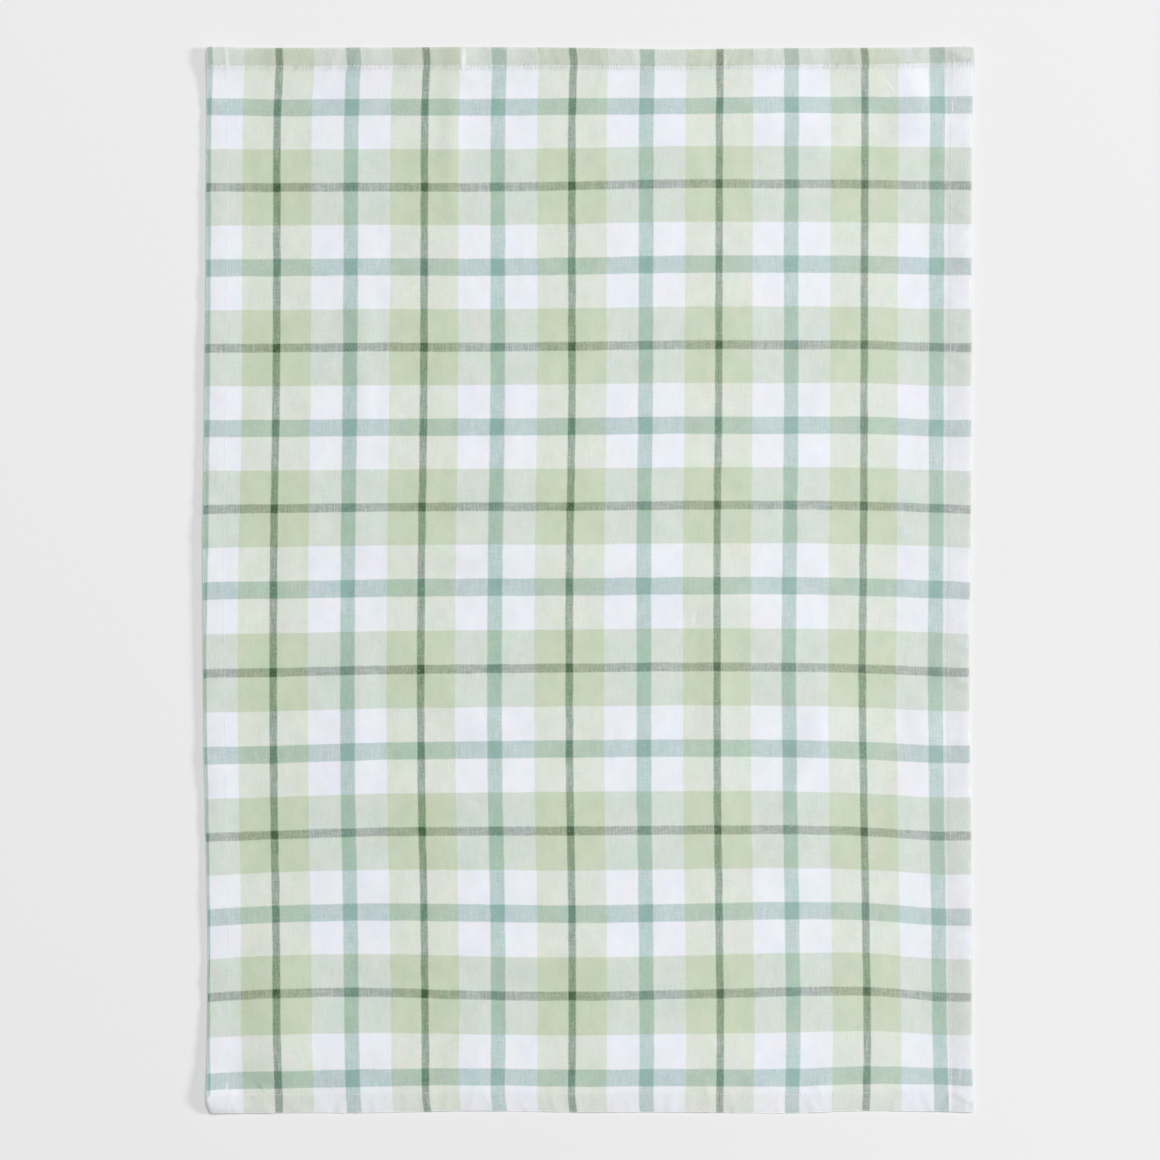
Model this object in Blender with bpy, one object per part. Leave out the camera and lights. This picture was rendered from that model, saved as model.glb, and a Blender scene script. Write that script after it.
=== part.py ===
"""A tea towel lying face up on a flat surface: one woven cotton cloth with a turned hem on all four sides.

Metres, +Z up. The origin is on the surface under the middle of the cloth, +X is its right side and +Y its
top end. The underside is flat at Z = 0 wherever the cloth touches the surface. It lifts off there at the
free edges, under the puckers of the hems and under the soft waves of the cloth.
"""

import math
from collections import namedtuple

import bmesh
import bpy

NAME = "tea_towel"
MM = 0.001

# The hemmed cloth, and how thick it is as a single layer
CLOTH_WIDTH = 0.505
CLOTH_LENGTH = 0.700
CLOTH_THICKNESS = 1.1 * MM

# Hem depths: the two sides run the whole length, the two ends the whole width
SIDE_HEM_DEPTH = 13.5 * MM
END_HEM_DEPTH = 12.5 * MM

# Cells of the surface between the hems
CELLS_ACROSS = 36
CELLS_ALONG = 50

# Section through a hem. inset: share of the hem's depth, from the edge. extra: thickness over one layer.
HemPoint = namedtuple("HemPoint", "inset extra")
HEM_SECTION = (
    HemPoint(0.00, 0.4 * MM),   # rounded fold at the edge
    HemPoint(0.22, 1.1 * MM),   # fold at its fullest
    HemPoint(0.60, 1.0 * MM),
    HemPoint(1.00, 0.6 * MM),   # furrow of the stitch line
    HemPoint(1.22, 0.8 * MM),   # inner edge of the turned cloth
    HemPoint(1.60, 0.0 * MM),   # back to one layer
)

# The laid outline, along each edge. along: mm from the middle. bow: mm that the edge stands out from the
# plain rectangle. lift: mm that its underside stands off the surface.
EdgePoint = namedtuple("EdgePoint", "along bow lift")
LEFT_EDGE = (
    EdgePoint(-350.0, -1.6, 4.2),
    EdgePoint(-338.0, -1.8, 5.4),
    EdgePoint(-318.0, -2.0, 3.8),
    EdgePoint(-300.0, -2.2, 3.0),
    EdgePoint(-274.0, -2.3, 1.7),
    EdgePoint(-220.0, -2.4, 2.2),
    EdgePoint(-170.0, -1.5, 1.8),
    EdgePoint(-140.0, -0.6, 1.9),
    EdgePoint(-60.0, 0.5, 3.0),
    EdgePoint(20.0, 0.9, 3.2),
    EdgePoint(110.0, -0.1, 2.3),
    EdgePoint(150.0, -0.7, 2.6),
    EdgePoint(205.0, -1.2, 1.7),
    EdgePoint(250.0, -1.4, 1.9),
    EdgePoint(300.0, -1.6, 1.5),
    EdgePoint(322.0, -1.7, 1.9),
    EdgePoint(338.0, -1.8, 3.8),
    EdgePoint(350.0, -1.7, 4.6),
)
RIGHT_EDGE = (
    EdgePoint(-350.0, 0.6, 0.6),
    EdgePoint(-300.0, -0.4, 0.9),
    EdgePoint(-220.0, -0.6, 1.1),
    EdgePoint(-140.0, -1.0, 0.5),
    EdgePoint(-60.0, -2.2, 0.9),
    EdgePoint(20.0, -1.1, 0.6),
    EdgePoint(110.0, -0.7, 0.7),
    EdgePoint(205.0, -0.6, 1.0),
    EdgePoint(300.0, -0.2, 0.5),
    EdgePoint(335.0, 0.6, 0.8),
    EdgePoint(350.0, 1.0, 1.0),
)
TOP_EDGE = (
    EdgePoint(-252.0, 0.3, 0.0),
    EdgePoint(-204.0, 0.1, 0.3),
    EdgePoint(-75.0, 0.4, 0.6),
    EdgePoint(-10.0, 0.1, 0.2),
    EdgePoint(60.0, -1.0, 0.6),
    EdgePoint(130.0, -0.2, 0.5),
    EdgePoint(183.0, -0.1, 0.3),
    EdgePoint(252.0, 0.6, 0.0),
)
BOTTOM_EDGE = (
    EdgePoint(-252.0, 0.6, 0.0),
    EdgePoint(-225.0, 0.5, 0.5),
    EdgePoint(-140.0, 0.2, 1.0),
    EdgePoint(-75.0, -1.1, 0.4),
    EdgePoint(-10.0, -0.1, 0.8),
    EdgePoint(60.0, -0.1, 0.9),
    EdgePoint(130.0, 0.6, 0.5),
    EdgePoint(183.0, -1.0, 1.1),
    EdgePoint(231.0, -0.5, 0.5),
    EdgePoint(252.0, 0.0, 0.0),
)
BOW_REACH = 90 * MM         # an edge's bow fades into the cloth over this distance
LIFT_REACH = 34 * MM        # and its lift over this one

# Radius of the very corners
CORNER_RADIUS = 2.0 * MM
LOW_LEFT_RADIUS = 4.5 * MM

# The cloth touches down just inside each corner, this many hem depths in from both of its edges
TOUCH_DEPTHS = 1.6
TOUCH_REACH = 26 * MM

# Puckers where a hem's stitches draw in. at: mm along the edge from the middle. half_width and height in mm.
# lean: sideways mm for each mm in from the edge.
Pucker = namedtuple("Pucker", "edge at half_width height lean")
PUCKERS = (
    Pucker("top", -236.0, 11.0, 1.3, 0.1),
    Pucker("top", -152.0, 12.0, 0.4, -0.2),
    Pucker("top", -83.0, 11.0, 1.2, 0.2),
    Pucker("top", 8.0, 12.0, 0.6, 0.0),
    Pucker("top", 92.0, 12.0, 0.8, -0.5),
    Pucker("top", 177.0, 13.0, 0.7, 0.4),
    Pucker("bottom", -215.0, 12.0, 0.7, -0.4),
    Pucker("bottom", -155.0, 14.0, 0.3, 0.2),
    Pucker("bottom", -100.0, 13.0, 0.4, 0.3),
    Pucker("bottom", 0.0, 13.0, 0.4, -0.3),
    Pucker("bottom", 74.0, 12.0, 0.5, 0.5),
    Pucker("bottom", 150.0, 12.0, 0.5, 0.4),
    Pucker("bottom", 216.0, 13.0, 0.4, -0.2),
    Pucker("left", -262.0, 14.0, 0.8, 0.3),
    Pucker("left", -120.0, 15.0, 0.6, -0.2),
    Pucker("left", 30.0, 14.0, 0.5, 0.3),
    Pucker("left", 190.0, 15.0, 0.7, 0.2),
    Pucker("right", -285.0, 14.0, 0.7, 0.3),
    Pucker("right", -170.0, 15.0, 0.6, -0.3),
    Pucker("right", -64.0, 14.0, 0.8, 0.4),
    Pucker("right", 66.0, 14.0, 0.5, 0.2),
    Pucker("right", 158.0, 15.0, 0.7, -0.3),
    Pucker("right", 268.0, 14.0, 0.6, 0.3),
)
PUCKER_REACH = 42 * MM      # a pucker dies out this far in from the edge

# Soft waves. x and y: mm of the crest's middle. heading: degrees of the crest from +X.
# half_length, half_width and height in mm.
Wave = namedtuple("Wave", "x y heading half_length half_width height")
WAVES = (
    Wave(200.0, 331.0, 138.0, 107.0, 31.0, 0.8),
    Wave(-89.0, 308.0, 90.0, 106.0, 12.0, 1.2),
    Wave(62.0, 287.0, 110.0, 46.0, 25.0, 1.1),
    Wave(140.0, 293.0, 149.0, 88.0, 32.0, 1.1),
    Wave(158.0, 300.0, 2.0, 115.0, 17.0, 1.2),
    Wave(225.0, 315.0, 60.0, 91.0, 23.0, 1.4),
    Wave(226.0, 309.0, 88.0, 88.0, 31.0, 1.5),
    Wave(-89.0, 166.0, 87.0, 78.0, 27.0, 0.8),
    Wave(-149.0, 141.0, 89.0, 118.0, 14.0, 1.3),
    Wave(-139.0, 99.0, 79.0, 128.0, 29.0, 0.9),
    Wave(164.0, 132.0, 65.0, 98.0, 19.0, 0.9),
    Wave(-217.0, 80.0, 86.0, 111.0, 28.0, 1.4),
    Wave(-182.0, 49.0, 90.0, 120.0, 22.0, 1.4),
    Wave(-66.0, 31.0, 13.0, 98.0, 35.0, 0.8),
    Wave(-51.0, 81.0, 88.0, 95.0, 14.0, 0.8),
    Wave(-24.0, 65.0, 0.0, 115.0, 30.0, 1.1),
    Wave(-223.0, -16.0, 87.0, 117.0, 22.0, 1.7),
    Wave(-200.0, 20.0, 90.0, 108.0, 16.0, 1.4),
    Wave(-121.0, 20.0, -4.0, 108.0, 21.0, 1.3),
    Wave(-3.0, 8.0, -6.0, 114.0, 22.0, 1.2),
    Wave(94.0, -16.0, 157.0, 114.0, 28.0, 1.1),
    Wave(227.0, 20.0, 93.0, 88.0, 31.0, 1.4),
    Wave(-199.0, -59.0, 65.0, 101.0, 32.0, 1.0),
    Wave(-89.0, -77.0, 133.0, 84.0, 21.0, 1.1),
    Wave(84.0, -47.0, 89.0, 60.0, 14.0, 1.4),
    Wave(141.0, -74.0, 130.0, 106.0, 25.0, 0.6),
    Wave(-149.0, -94.0, 89.0, 118.0, 14.0, 1.1),
    Wave(-68.0, -143.0, 4.0, 107.0, 23.0, 1.3),
    Wave(89.0, -112.0, 89.0, 95.0, 20.0, 1.0),
    Wave(137.0, -144.0, 68.0, 89.0, 14.0, 1.1),
    Wave(154.0, -104.0, 92.0, 97.0, 28.0, 1.2),
    Wave(221.0, -115.0, 76.0, 74.0, 22.0, 1.5),
    Wave(222.0, -90.0, 104.0, 47.0, 15.0, 0.7),
    Wave(-215.0, -262.0, 96.0, 104.0, 33.0, 1.9),
    Wave(-197.0, -270.0, 73.0, 113.0, 35.0, 1.8),
    Wave(-31.0, -249.0, -3.0, 116.0, 21.0, 1.4),
    Wave(58.0, -240.0, 12.0, 104.0, 34.0, 1.5),
    Wave(-185.0, -322.0, -1.0, 87.0, 25.0, 1.7),
    Wave(-155.0, -307.0, -7.0, 103.0, 31.0, 1.7),
    Wave(-73.0, -316.0, 92.0, 73.0, 30.0, 1.4),
    Wave(10.0, -284.0, 92.0, 114.0, 27.0, 0.6),
    Wave(69.0, -315.0, 3.0, 115.0, 33.0, 1.6),
)

COTTON_COLOUR = (0.74, 0.79, 0.72, 1.0)
COTTON_ROUGHNESS = 0.92


def bell(offset, half_width):
    """1 at the middle, 0 from half_width outwards, smooth between."""
    if abs(offset) >= half_width:
        return 0.0
    return math.cos(0.5 * math.pi * offset / half_width) ** 2


def curve_value(points, column, along):
    """A smooth curve through one column of an edge's points, at a place in metres along the edge."""
    place = along / MM
    last = len(points) - 1
    index = 0
    while index < last - 1 and points[index + 1].along < place:
        index += 1
    before, start = points[max(index - 1, 0)], points[index]
    end, after = points[index + 1], points[min(index + 2, last)]
    span = end.along - start.along
    share = min(max((place - start.along) / span, 0.0), 1.0)
    square, cube = share ** 2, share ** 3
    low, high = getattr(start, column), getattr(end, column)
    slope_in = (high - getattr(before, column)) / (end.along - before.along) * span
    slope_out = (getattr(after, column) - low) / (after.along - start.along) * span
    return (
        (2 * cube - 3 * square + 1) * low
        + (cube - 2 * square + share) * slope_in
        + (3 * square - 2 * cube) * high
        + (cube - square) * slope_out
    ) * MM


def hem_extra(inset, depth):
    """Thickness that a hem adds over one layer of cloth, at a distance in from its edge."""
    share = inset / depth
    for start, end in zip(HEM_SECTION, HEM_SECTION[1:]):
        if share <= end.inset:
            part = (share - start.inset) / (end.inset - start.inset)
            return start.extra + part * (end.extra - start.extra)
    return 0.0


def edge_insets(across, along):
    """Distance in from each edge, and the place along that edge, for a point of the flat cloth."""
    return {
        "left": (0.5 * CLOTH_WIDTH + across, along, LEFT_EDGE),
        "right": (0.5 * CLOTH_WIDTH - across, along, RIGHT_EDGE),
        "bottom": (0.5 * CLOTH_LENGTH + along, across, BOTTOM_EDGE),
        "top": (0.5 * CLOTH_LENGTH - along, across, TOP_EDGE),
    }


def corner_pull(across, along):
    """How far in towards the middle the rounding of the corners draws a point of the flat cloth."""
    radius = LOW_LEFT_RADIUS if across < 0.0 and along < 0.0 else CORNER_RADIUS
    side_share = max(1.0 - (0.5 * CLOTH_WIDTH - abs(across)) / radius, 0.0)
    end_share = max(1.0 - (0.5 * CLOTH_LENGTH - abs(along)) / radius, 0.0)
    return (
        radius * side_share * (1.0 - math.sqrt(1.0 - 0.5 * end_share ** 2)),
        radius * end_share * (1.0 - math.sqrt(1.0 - 0.5 * side_share ** 2)),
    )


def laid_place(across, along):
    """Where a point of the flat cloth lies on the surface, with the bows of the four edges."""
    outward = {"left": (-1, 0), "right": (1, 0), "bottom": (0, -1), "top": (0, 1)}
    pull_x, pull_y = corner_pull(across, along)
    x, y = across - math.copysign(pull_x, across), along - math.copysign(pull_y, along)
    for edge, (inset, place, points) in edge_insets(across, along).items():
        bow = curve_value(points, "bow", place) * bell(inset, BOW_REACH)
        x += outward[edge][0] * bow
        y += outward[edge][1] * bow
    return x, y


def pucker_height(across, along):
    """Height of the hem puckers at a point of the flat cloth."""
    insets = edge_insets(across, along)
    height = 0.0
    for pucker in PUCKERS:
        inset, place, _ = insets[pucker.edge]
        sideways = place - pucker.at * MM - pucker.lean * inset
        height += pucker.height * MM * bell(sideways, pucker.half_width * MM) * bell(inset, PUCKER_REACH)
    return height


def wave_height(across, along):
    """Height of the broad waves at a point of the flat cloth."""
    height = 0.0
    for wave in WAVES:
        turn = math.radians(wave.heading)
        from_x, from_y = across - wave.x * MM, along - wave.y * MM
        lengthwise = from_x * math.cos(turn) + from_y * math.sin(turn)
        sideways = from_y * math.cos(turn) - from_x * math.sin(turn)
        height += (
            wave.height * MM * bell(lengthwise, wave.half_length * MM) * bell(sideways, wave.half_width * MM)
        )
    return height


def corner_touch(across, along):
    """1 at the place near each corner where the cloth touches down, 0 away from it."""
    from_x = abs(across) - (0.5 * CLOTH_WIDTH - TOUCH_DEPTHS * SIDE_HEM_DEPTH)
    from_y = abs(along) - (0.5 * CLOTH_LENGTH - TOUCH_DEPTHS * END_HEM_DEPTH)
    return bell(math.hypot(from_x, from_y), TOUCH_REACH)


def underside_height(across, along):
    """How far the cloth's underside stands off the surface: zero where it lies on it."""
    height = pucker_height(across, along) + wave_height(across, along)
    for inset, place, points in edge_insets(across, along).values():
        height += max(curve_value(points, "lift", place), 0.0) * bell(inset, LIFT_REACH)
    return height * (1.0 - corner_touch(across, along))


def thickness(across, along):
    """Thickness of the cloth: one layer, and more in the hems, most where two hems cross at a corner."""
    side_inset = 0.5 * CLOTH_WIDTH - abs(across)
    end_inset = 0.5 * CLOTH_LENGTH - abs(along)
    return CLOTH_THICKNESS + hem_extra(side_inset, SIDE_HEM_DEPTH) + hem_extra(end_inset, END_HEM_DEPTH)


def grid_lines(size, hem_depth, body_cells):
    """Places of the grid lines across the cloth: at each point of the two hems, and evenly between them."""
    half = 0.5 * size
    hem = [point.inset * hem_depth for point in HEM_SECTION]
    body = 2 * (half - hem[-1])
    lines = [inset - half for inset in hem]
    lines += [(step / body_cells - 0.5) * body for step in range(1, body_cells)]
    lines += [half - inset for inset in reversed(hem)]
    return lines


def cotton_material():
    material = bpy.data.materials.new("cotton")
    material.use_nodes = True
    shader = material.node_tree.nodes["Principled BSDF"]
    shader.inputs["Base Color"].default_value = COTTON_COLOUR
    shader.inputs["Roughness"].default_value = COTTON_ROUGHNESS
    shader.inputs["Metallic"].default_value = 0.0
    material.diffuse_color = COTTON_COLOUR
    return material


def build_towel(collection):
    """A grid of the underside, extruded upwards by the cloth's own thickness at each point."""
    across_lines = grid_lines(CLOTH_WIDTH, SIDE_HEM_DEPTH, CELLS_ACROSS)
    along_lines = grid_lines(CLOTH_LENGTH, END_HEM_DEPTH, CELLS_ALONG)
    across_cells, along_cells = len(across_lines) - 1, len(along_lines) - 1
    shape = bmesh.new()
    bmesh.ops.create_grid(shape, x_segments=across_cells, y_segments=along_cells, size=0.5)
    upper = bmesh.ops.extrude_face_region(shape, geom=shape.faces[:])
    upper_points = {point for point in upper["geom"] if isinstance(point, bmesh.types.BMVert)}
    for point in shape.verts:
        across = across_lines[round((point.co.x + 0.5) * across_cells)]
        along = along_lines[round((point.co.y + 0.5) * along_cells)]
        x, y = laid_place(across, along)
        z = underside_height(across, along)
        if point in upper_points:
            z += thickness(across, along)
        point.co = (x, y, z)
    bmesh.ops.recalc_face_normals(shape, faces=shape.faces[:])
    mesh = bpy.data.meshes.new(NAME)
    shape.to_mesh(mesh)
    shape.free()
    mesh.materials.append(cotton_material())
    mesh.shade_smooth()
    mesh.set_sharp_from_angle(angle=math.radians(40))
    towel = bpy.data.objects.new(NAME, mesh)
    collection.objects.link(towel)
    return towel


def main():
    for item in list(bpy.data.objects):
        bpy.data.objects.remove(item, do_unlink=True)
    collection = bpy.data.collections.new("Tea towel")
    bpy.context.scene.collection.children.link(collection)
    build_towel(collection)


main()
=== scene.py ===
"""The looks of a tea towel: plain-woven cotton in a yarn-dyed check, lying face up on a pale surface.

The cloth is one thin sheet. Its mesh is a grid of the flat, cut cloth: the grid's own coordinates follow the
yarns, and each point is then folded over at the hems, drawn a little out of square as the cloth lies, and
lifted over its waves and puckers. The same flat coordinates, kept as a UV map, carry the woven stripes.
"""

import math
from collections import namedtuple

import bmesh
import bpy
import numpy as np
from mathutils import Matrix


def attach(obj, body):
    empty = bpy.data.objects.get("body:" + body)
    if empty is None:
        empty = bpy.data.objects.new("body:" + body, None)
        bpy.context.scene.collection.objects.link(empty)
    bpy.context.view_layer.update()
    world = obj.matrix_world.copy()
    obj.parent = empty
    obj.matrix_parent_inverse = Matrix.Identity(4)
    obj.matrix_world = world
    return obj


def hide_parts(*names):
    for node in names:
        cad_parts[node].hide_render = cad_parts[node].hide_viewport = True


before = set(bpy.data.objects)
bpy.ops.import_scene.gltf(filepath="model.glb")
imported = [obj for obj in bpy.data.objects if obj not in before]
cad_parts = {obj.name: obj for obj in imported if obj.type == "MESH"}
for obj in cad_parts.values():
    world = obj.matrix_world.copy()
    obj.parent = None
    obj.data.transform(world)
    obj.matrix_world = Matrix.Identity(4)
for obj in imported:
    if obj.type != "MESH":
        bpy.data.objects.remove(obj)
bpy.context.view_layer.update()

NODE = "tea_towel"
MM = 0.001

# ------------------------------------------------------------------------------
# Sizes of the cloth, in metres

WIDTH = 0.505                   # hemmed size
LENGTH = 0.700
SIDE_STITCH = 13.8 * MM         # stitch line, in from the left and right edges
END_STITCH = 12.1 * MM          # and in from the two ends
FLAP_PAST_STITCH = 2.4 * MM     # how far the turned cloth goes on past its stitches
FOLD_RADIUS = 0.30 * MM         # of the fold at the towel's edge
TUCK_RADIUS = 0.18 * MM         # of the turned cloth's own inner edge

CLOTH_LEVEL = 0.50 * MM         # face of the single cloth over its underside
FLAP_LEVEL = 0.15 * MM          # turned cloth over the underside
CORNER_LAYER = 0.4              # of an end hem's rise, where the turned side hem is folded in with it

# Rise of the face over the single cloth, across a hem. inset: share of the stitch line's depth.
HemPoint = namedtuple("HemPoint", "inset rise")
HEM_RISE = (
    HemPoint(0.00, 0.40),
    HemPoint(0.25, 0.68),
    HemPoint(0.70, 0.70),
    HemPoint(0.90, 0.62),
    HemPoint(1.00, 0.50),       # stitches draw the layers together a little
    HemPoint(1.08, 0.47),
    HemPoint(1.30, 0.40),       # beyond the turned cloth's inner edge the face comes down softly
    HemPoint(1.70, 0.24),
    HemPoint(2.20, 0.08),
    HemPoint(2.60, 0.00),
)

# The cloth touches down just inside each corner: how far in from its side and from its end, and how far
# around that place
TOUCH_SIDE = 21.6 * MM
TOUCH_END = 20.0 * MM
TOUCH_REACH = 26.0 * MM

# The right hem rolls down towards its edge: how far, and from how far in
ROLL_DROP = 0.14 * MM
ROLL_REACH = 4.5 * MM

# How far the very corners are rounded along the end and along the side
CORNER_ROUND = (2.0 * MM, 2.0 * MM)
LOW_LEFT_ROUND = (3.6 * MM, 10.5 * MM)      # the one that shows it most

# ------------------------------------------------------------------------------
# How the cloth lies: mm that a point of the flat cloth is drawn sideways (sway) and upwards in the
# photograph (bow). Each row is one line of the weave at a place along the towel, each column a place
# across it, in mm from the middle.

LIE_COLUMNS = (-252, -247, -227, -204, -140, -75, -10, 60, 130, 183, 231, 252)
LieRow = namedtuple("LieRow", "along values")
SWAY = (
    LieRow(-350, (1.6, 0.0, 0.8, 1.2, 2.5, 1.2, 0.9, 0.8, -0.5, -0.4, 0.8, 0.6)),
    LieRow(-338, (1.8, 0.1, 0.5, 1.1, 1.6, 0.0, -0.1, 0.7, -0.3, 0.1, 0.8, 0.3)),
    LieRow(-300, (2.2, -0.7, -0.9, -0.1, 0.7, 0.1, 0.2, 1.0, 0.5, 0.6, -0.3, -0.4)),
    LieRow(-220, (2.4, -0.8, -1.3, -0.9, -0.3, -0.5, 0.1, 0.2, -0.5, -0.5, -1.1, -0.6)),
    LieRow(-140, (0.6, -1.8, -2.6, -2.3, -1.9, -2.1, -1.3, -0.9, -1.8, -1.8, -2.5, -1.0)),
    LieRow(-60, (-0.3, -3.1, -3.4, -2.6, -2.3, -2.6, -1.7, -0.9, -2.5, -2.7, -3.3, -2.2)),
    LieRow(20, (-0.7, -1.7, -2.6, -2.2, -1.8, -1.9, -1.3, -1.1, -1.9, -1.9, -2.8, -1.1)),
    LieRow(110, (0.2, -0.7, -0.7, -0.9, -0.7, -0.6, 0.0, -0.1, -1.0, -1.5, -2.6, -0.7)),
    LieRow(205, (1.2, -0.1, -0.4, -0.3, -0.1, -0.3, 0.1, 0.4, -1.0, -1.3, -2.3, -0.6)),
    LieRow(300, (1.6, 0.2, -0.1, -0.1, 0.3, -0.2, 0.1, 0.6, -0.7, -0.9, -1.9, -0.2)),
    LieRow(335, (1.8, 1.5, 1.1, 1.3, 1.4, 0.7, 0.9, 1.2, -0.8, -1.1, -2.2, 0.8)),
    LieRow(340, (1.8, 1.8, 1.5, 1.6, 2.2, 0.9, 1.4, 1.2, -0.4, -0.7, -1.8, 0.9)),
    LieRow(350, (1.7, 1.4, 1.0, 1.3, 1.2, 0.5, 0.4, 1.1, -1.0, -1.8, -2.3, 1.1)),
)
BOW = (
    LieRow(-350, (-0.6, -0.6, -0.5, -0.3, -0.2, 1.1, 0.1, 0.1, -0.6, 1.0, 0.5, 0.0)),
    LieRow(-326, (-4.0, -3.7, -3.1, -2.5, -1.3, -0.6, -1.6, -1.0, -1.3, 0.4, -0.3, -0.9)),
    LieRow(-273, (-1.6, -1.3, 0.0, 1.2, 1.8, -0.1, -0.7, 0.4, 2.1, 2.4, -1.0, -1.4)),
    LieRow(-220, (-2.5, -2.1, -1.0, 0.2, 1.5, 0.9, 0.1, 1.1, 2.4, 1.7, -1.6, -1.7)),
    LieRow(-140, (-2.4, -2.3, -1.9, -1.3, 0.8, 1.7, 2.3, 2.7, 2.6, 1.2, -1.4, -1.3)),
    LieRow(-60, (-1.3, -0.9, -0.6, -0.3, 1.2, 2.0, 2.6, 3.3, 3.1, 2.2, 0.2, -0.4)),
    LieRow(20, (-0.1, 0.4, 0.9, 1.1, 2.1, 2.6, 2.7, 3.5, 3.7, 2.9, 1.5, 0.3)),
    LieRow(110, (0.3, 0.6, 0.6, 0.7, 1.3, 1.5, 2.0, 2.8, 2.7, 2.8, 0.9, 0.7)),
    LieRow(205, (-0.2, -0.2, 0.1, 0.2, 0.8, 0.5, 1.3, 2.5, 2.6, 2.3, 1.1, 0.8)),
    LieRow(270, (-0.3, -0.2, -0.2, -0.2, 0.0, -0.1, 0.8, 2.2, 2.1, 1.8, 1.2, 0.9)),
    LieRow(311, (-0.2, -0.3, -0.5, -0.9, -0.3, -0.5, 0.0, 0.3, 1.1, 0.8, 0.7, 0.8)),
    LieRow(338, (-1.4, -1.4, -1.4, -1.6, -1.2, -1.3, -0.8, -1.4, -0.6, -0.3, 0.4, 1.3)),
    LieRow(350, (0.2, 0.2, 0.1, 0.0, 0.2, 0.4, 0.1, -1.0, -0.2, -0.1, 0.2, 0.6)),
)

# Lift of the free edges off the surface. along: mm from the middle of the edge. lift in mm.
LiftPoint = namedtuple("LiftPoint", "along lift")
EDGE_LIFT = {
    "left": (
        LiftPoint(-350, 1.3), LiftPoint(-344, 4.0), LiftPoint(-335, 5.8), LiftPoint(-318, 3.8),
        LiftPoint(-300, 3.0), LiftPoint(-274, 1.7), LiftPoint(-243, 1.8), LiftPoint(-210, 2.3),
        LiftPoint(-170, 1.8), LiftPoint(-143, 1.9), LiftPoint(-110, 2.5), LiftPoint(-46, 3.1),
        LiftPoint(20, 3.2), LiftPoint(60, 2.7), LiftPoint(118, 2.3), LiftPoint(150, 2.6),
        LiftPoint(190, 1.7), LiftPoint(250, 1.9), LiftPoint(300, 1.5), LiftPoint(322, 1.9),
        LiftPoint(338, 3.8), LiftPoint(350, 4.6),
    ),
    "right": (
        LiftPoint(-350, 0.6), LiftPoint(-240, 1.2), LiftPoint(-120, 0.5), LiftPoint(-40, 1.0),
        LiftPoint(50, 0.4), LiftPoint(170, 1.1), LiftPoint(290, 0.5), LiftPoint(350, 1.0),
    ),
    "top": (
        LiftPoint(-252, 0.0), LiftPoint(-90, 0.6), LiftPoint(0, 0.2), LiftPoint(90, 0.7),
        LiftPoint(180, 0.3), LiftPoint(252, 0.0),
    ),
    "bottom": (
        LiftPoint(-252, 0.0), LiftPoint(-225, 0.4), LiftPoint(-150, 0.3), LiftPoint(-70, 0.1),
        LiftPoint(20, 0.3), LiftPoint(130, 0.1), LiftPoint(190, 0.4), LiftPoint(252, 0.0),
    ),
}
LIFT_REACH = 34 * MM

# Puckers where the stitches draw in. at, half_width and height in mm; lean: sideways mm for each mm inwards.
Pucker = namedtuple("Pucker", "edge at half_width height lean")
PUCKERS = (
    Pucker("top", -236, 11, 1.3, 0.1),
    Pucker("top", -152, 12, 0.4, -0.2),
    Pucker("top", -83, 11, 1.2, 0.2),
    Pucker("top", 8, 12, 0.6, 0),
    Pucker("top", 92, 12, 0.8, -0.5),
    Pucker("top", 177, 13, 0.7, 0.4),
    Pucker("bottom", -215, 12, 0.7, -0.4),
    Pucker("bottom", -155, 14, 0.3, 0.2),
    Pucker("bottom", -100, 13, 0.4, 0.3),
    Pucker("bottom", 0, 13, 0.4, -0.3),
    Pucker("bottom", 74, 12, 0.5, 0.5),
    Pucker("bottom", 150, 12, 0.5, 0.4),
    Pucker("bottom", 216, 13, 0.4, -0.2),
    Pucker("left", -262, 14, 0.8, 0.3),
    Pucker("left", -120, 15, 0.6, -0.2),
    Pucker("left", 30, 14, 0.5, 0.3),
    Pucker("left", 190, 15, 0.7, 0.2),
    Pucker("right", -285, 14, 0.7, 0.3),
    Pucker("right", -170, 15, 0.6, -0.3),
    Pucker("right", -64, 14, 0.8, 0.4),
    Pucker("right", 66, 14, 0.5, 0.2),
    Pucker("right", 158, 15, 0.7, -0.3),
    Pucker("right", 268, 14, 0.6, 0.3),
)
PUCKER_REACH = 42 * MM

# Small ripples between the puckers, placed by a seeded draw. The turned cloth shows a share of them.
RIPPLE_SEED = 11
RIPPLE_SPACING = 12.0 * MM
RIPPLE_HALF_WIDTH = (2.6 * MM, 6.5 * MM)
RIPPLE_HEIGHT = (0.10 * MM, 0.50 * MM)
RippleEdge = namedtuple("RippleEdge", "edge size deeper")      # deeper: factor on its ripples' height
RIPPLE_EDGES = (
    RippleEdge("left", LENGTH, 1.4), RippleEdge("right", LENGTH, 1.7),
    RippleEdge("bottom", WIDTH, 1.3), RippleEdge("top", WIDTH, 1.2),
)
RIPPLE_LEAN = 0.6
RIPPLE_REACH = (15.0 * MM, 26.0 * MM)
TURNED_RIPPLE = 0.5

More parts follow.
